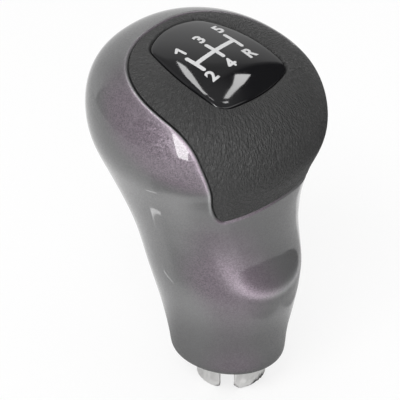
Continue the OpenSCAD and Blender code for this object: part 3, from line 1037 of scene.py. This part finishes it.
def zinc_plate():
    """Zinc plating: bright, slightly blue, with a faint mottle."""
    zinc, shader, place = textured("zinc plate", 0.3, 1.0)
    mottle = node(zinc, "ShaderNodeTexVoronoi", {"Vector": place, "Scale": 2600.0}).outputs["Distance"]
    join(zinc, scaled(zinc, (0.60, 0.61, 0.63), ranged(zinc, mottle, 0.9, 1.05)), shader.inputs["Base Color"])
    return zinc


finish_node("carrier_screws", zinc_plate())


# Studio
# A white floor under an even white sky, with two soft lamps. The object's gloss
# shows a dark tent round it, with strip lights, sheets and a card set up in it.

FLOOR_Z = -0.0075
HEAD_Z = 0.06


def seen(material):
    """1 for the rays that show things, to the eye or in gloss and glass, and 0 for those that light them."""
    path = node(material, "ShaderNodeLightPath").outputs
    eye = maths(material, "MAXIMUM", path["Is Camera Ray"], path["Is Glossy Ray"])
    return maths(material, "MAXIMUM", eye, path["Is Transmission Ray"])


def empty_material(name):
    """A material with no nodes but its output."""
    made = bpy.data.materials.new(name)
    made.use_nodes = True
    made.node_tree.nodes.clear()
    return made, node(made, "ShaderNodeOutputMaterial").inputs["Surface"]


def backdrop_white():
    """White for the floor: mostly its own light to the eye and partly lit, so that the shadow stays."""
    white, surface = empty_material("studio white")
    share = maths(white, "MULTIPLY", seen(white), 0.75)
    lit = node(white, "ShaderNodeBsdfDiffuse", {"Color": (0.9, 0.9, 0.9, 1)})
    own = node(white, "ShaderNodeEmission", {"Color": (1, 1, 1, 1), "Strength": 1.04})
    both = node(white, "ShaderNodeMixShader", {0: share, 1: lit.outputs[0], 2: own.outputs[0]})
    join(white, both.outputs[0], surface)
    return white


bpy.ops.mesh.primitive_plane_add(size=3, location=(0, 0, FLOOR_Z))
floor = bpy.context.object
floor.name = "floor"
floor.data.materials.append(backdrop_white())

world = bpy.data.worlds.new("studio light")
bpy.context.scene.world = world
world.use_nodes = True
world.node_tree.nodes.clear()
level = ranged(world, seen(world), 0.72, 1.0)
sky = node(world, "ShaderNodeBackground", {"Color": (1, 1, 1, 1), "Strength": level})
join(world, sky.outputs[0], node(world, "ShaderNodeOutputWorld").inputs["Surface"])
world.cycles.sampling_method = "NONE"


def glow(name, strength=None):
    """An even light or dark, or without a strength the shade stored at each corner."""
    made, surface = empty_material(name)
    if strength is None:
        strength = stored(made, "shade")
    light = node(made, "ShaderNodeEmission", {"Color": (1, 1, 1, 1), "Strength": strength})
    join(made, light.outputs[0], surface)
    return made


def gloss_sheet(name, corners, faces, material, shades=None):
    """A sheet of the studio that only the gloss of the object shows."""
    mesh = bpy.data.meshes.new(name)
    mesh.from_pydata(corners, [], faces)
    sheet = bpy.data.objects.new(name, mesh)
    bpy.context.collection.objects.link(sheet)
    if shades is not None:
        store(sheet, "shade", "FLOAT", np.asarray(shades))
    sheet.data.materials.append(material)
    for rays in ("camera", "diffuse", "shadow", "transmission"):
        setattr(sheet, "visible_" + rays, False)


def grid_faces(rows, columns, closed):
    """The faces between the rows of a grid; in a closed one the last column meets the first."""
    faces = []
    for low in range(0, (rows - 1) * columns, columns):
        for j in range(columns if closed else columns - 1):
            on = (j + 1) % columns
            faces.append([low + j, low + on, low + columns + on, low + columns + j])
    return faces


def in_direction(turn, rise, distance):
    """A point seen from the knob's head at a turn from the front to the right and a rise, in degrees."""
    turn, rise = math.radians(turn), math.radians(rise)
    return (distance * math.cos(rise) * math.sin(turn), distance * math.cos(rise) * math.cos(turn),
            HEAD_Z + distance * math.sin(rise))


TENT_DISTANCE = 1.3
# The dark tent is open to the white sweep behind the object, up to this rise at each turn
TENT_OPENING = np.array([(-14, -6), (-12, 20), (-8, 34), (10, 44), (43, 50.6), (57, 54.5), (71, 51),
                         (80.7, 43.7), (83.3, 31.6), (84, -6)], float)


def tent_shade(row, turn, rise, open_to):
    """Grey room on the left, the white sweep in the opening, black on the right, dull grey overhead."""
    grey = 0.45 * np.interp(turn, [-170, -120, -20, 10], [0.5, 1, 1, 0]) * np.interp(rise, [50, 75], [1, 0.5])
    sweep = np.interp(row, [-0.25, 0.0, 0.05, 0.12], [0.95, 0.62, 0.40, 0.30]) * (open_to > -5)
    sweep *= np.interp(turn, [66, 84], [1, 0.6]) if row < 0.05 else np.interp(turn, [80, 88], [1, 0])
    above = 0.34 * np.interp(rise, [54, 66], [0, 1]) * np.interp(turn, [60, 80, 140, 170], [0.6, 1, 1, 0.4])
    return 0.012 + grey + max(sweep, above * (row > 0))


def make_tent():
    """The tent: rows from the floor to the opening's edge, and from there to its top."""
    turns = np.arange(0, 360, 2)
    signed = np.where(turns > 180, turns - 360, turns)
    edge = np.interp(signed, TENT_OPENING[:, 0], TENT_OPENING[:, 1], left=-6, right=-6)
    rows = [np.linspace(-1, 0, 12)[:-1], np.linspace(0, 8, 9) / 95, np.linspace(12, 95, 16) / 95]
    rows = np.concatenate(rows)
    points, shades = [], []
    for row in rows:
        for turn, signed_turn, open_to in zip(turns, signed, edge):
            rise = open_to + (89.5 - open_to) * row if row >= 0 else open_to + (open_to + 6.5) * row
            points.append(in_direction(turn, rise, TENT_DISTANCE))
            shades.append(tent_shade(row, signed_turn, rise, open_to))
    faces = grid_faces(len(rows), len(turns), True)
    gloss_sheet("dark tent", points, faces, glow("tent cloth"), shades)


def in_sky(name, directions, distance, material):
    """A flat sheet with its corners at these turns and rises."""
    corners = [in_direction(turn, rise, distance) for turn, rise in directions]
    gloss_sheet(name, corners, [range(len(corners))], material)


def on_floor(name, corners, lift, material):
    """A flat sheet that lies on the floor, its corners in millimetres."""
    corners = [(x * MM, y * MM, FLOOR_Z + lift * MM) for x, y in corners]
    gloss_sheet(name, corners, [range(len(corners))], material)


make_tent()
dark = glow("black felt", 0.02)
strip = glow("strip light", 9.5)
in_sky("strip left", [(47.8, 54.2), (53.9, 58.5), (66.7, 67.1), (93.0, 74.0), (88.0, 77.5), (62.0, 71.0),
                      (52.0, 62.5)], 1.0, strip)
in_sky("strip right", [(85.6, 51.9), (89.0, 45.3), (94.7, 52.4), (107.3, 65.5), (105.9, 67.6), (92.9, 58.0)],
       1.0, strip)
in_sky("strip low", [(114.0, 69.8), (111.2, 66.9), (117.0, 66.2), (119.5, 68.7)], 1.0, strip)
in_sky("strip lowest", [(97.8, 75.9), (110.5, 75.4), (108, 74.6), (97, 75.1)], 1.0, strip)
in_sky("strip rear", [(-103, 62), (-109, 41), (-112, 9), (-122, 6), (-124, 23), (-121, 40), (-117, 57)],
       1.0, glow("rear strip light", 13.0))
in_sky("soft rear sheet", [(-84, 70), (-97, 58), (-104, 40), (-106, 8), (-140, 5), (-144, 40), (-130, 70)],
       1.15, glow("rear sheet light", 1.2))
in_sky("soft light behind the eye", [(152, 24), (152, 54), (208, 54), (208, 24)],
       1.1, glow("soft light", 1.7))
in_sky("dark window", [(-65, 31), (-70, 20), (-81, 13), (-92, 23), (-99, 46), (-81, 56), (-65, 54)],
       1.1, dark)
# Where the white sheet ends beside the object, the table is dark
on_floor("felt right", [(-32, -99), (11, -93), (38, -79), (62, -62), (75, -38), (92, 0), (112, 60), (240, 60),
                        (240, -500), (-120, -500)], 0.1, dark)
# A small bright card lies on the sheet at the front left, for the glint on the neck
on_floor("small card", [(-29.7, 38.9), (-31.3, 38.2), (-35.9, 28.2), (-35.3, 27.4)],
         0.2, glow("card light", 3.2))


def smooth_step(v):
    """Eases from 0 to 1."""
    v = np.clip(v, 0, 1)
    return v ** 2 * (3 - 2 * v)


def shade_on_floor():
    """The white sheet: in the knob's own shade close to it, duller again far off on the left."""
    xs, ys = np.arange(-120, 114, 2.0), np.arange(-106, 62, 2.0)
    x, y = np.meshgrid(xs, ys)
    reach = np.hypot(x, y - 1)
    right = np.clip((x - 20) / 20, 0, 1)
    rear = (52 + 60 * right) * np.clip((-y - 32 + 36 * right) / 14, 0, 1) * np.clip((x + 34) / 22, 0, 1)
    least = 0.32 + 0.3 * np.clip((reach - 32) / 10, 0, 1)
    near = least + (1 - least) * smooth_step((reach - 21 - rear) / 14)
    bright = 0.45 * np.exp(-((x + 36) ** 2 + (y - 6) ** 2) / 240)
    left = smooth_step((-14 - x) / 18) * smooth_step((y + 60) / 40) * smooth_step((33 - y) / 8)
    far = 1 - 0.5 * smooth_step((reach - 42) / 12) * left
    points = np.stack([x * MM, y * MM, np.full_like(x, FLOOR_Z + 0.05 * MM)], -1).reshape(-1, 3)
    faces = grid_faces(len(ys), len(xs), False)
    gloss_sheet("shaded sheet", points.tolist(), faces, glow("shaded sheet"), near * far + bright)


shade_on_floor()


def lamp(name, place, towards, size, power):
    """A soft rectangular lamp that faces a point. The gloss of the object does not show it."""
    light = bpy.data.lights.new(name, "AREA")
    light.shape = "RECTANGLE"
    light.size, light.size_y = size
    light.energy = power
    made = bpy.data.objects.new(name, light)
    bpy.context.collection.objects.link(made)
    made.location = place
    made.rotation_euler = (Vector(towards) - Vector(place)).to_track_quat("-Z", "Y").to_euler()
    made.visible_glossy = False


lamp("key lamp", (-0.55, -0.15, 0.75), (0, 0, 0.04), (0.5, 0.35), 3.0)
lamp("fill lamp", (-0.5, -0.6, 0.22), (0, 0, 0.03), (0.4, 0.3), 0.8)

CAMERA_TILT = math.radians(56.69)
CAMERA_TURN = math.radians(-51.68)
CAMERA_LENS = 229.5
# From the start the camera is moved in its own directions: across and up in the picture, and back
CAMERA_START = Vector((0, -0.5, 0))
CAMERA_MOVE = Vector((-7.75, 34.16, 600.0))
camera_data = bpy.data.cameras.new("camera")
camera_data.sensor_width = 36
camera_data.lens = CAMERA_LENS
camera = bpy.data.objects.new("camera", camera_data)
bpy.context.collection.objects.link(camera)
turned = Euler((CAMERA_TILT, 0, CAMERA_TURN)).to_matrix()
camera.matrix_world = Matrix.LocRotScale((CAMERA_START + turned @ CAMERA_MOVE) * MM, turned, None)
bpy.context.scene.camera = camera
bpy.context.scene.view_settings.view_transform = "Standard"
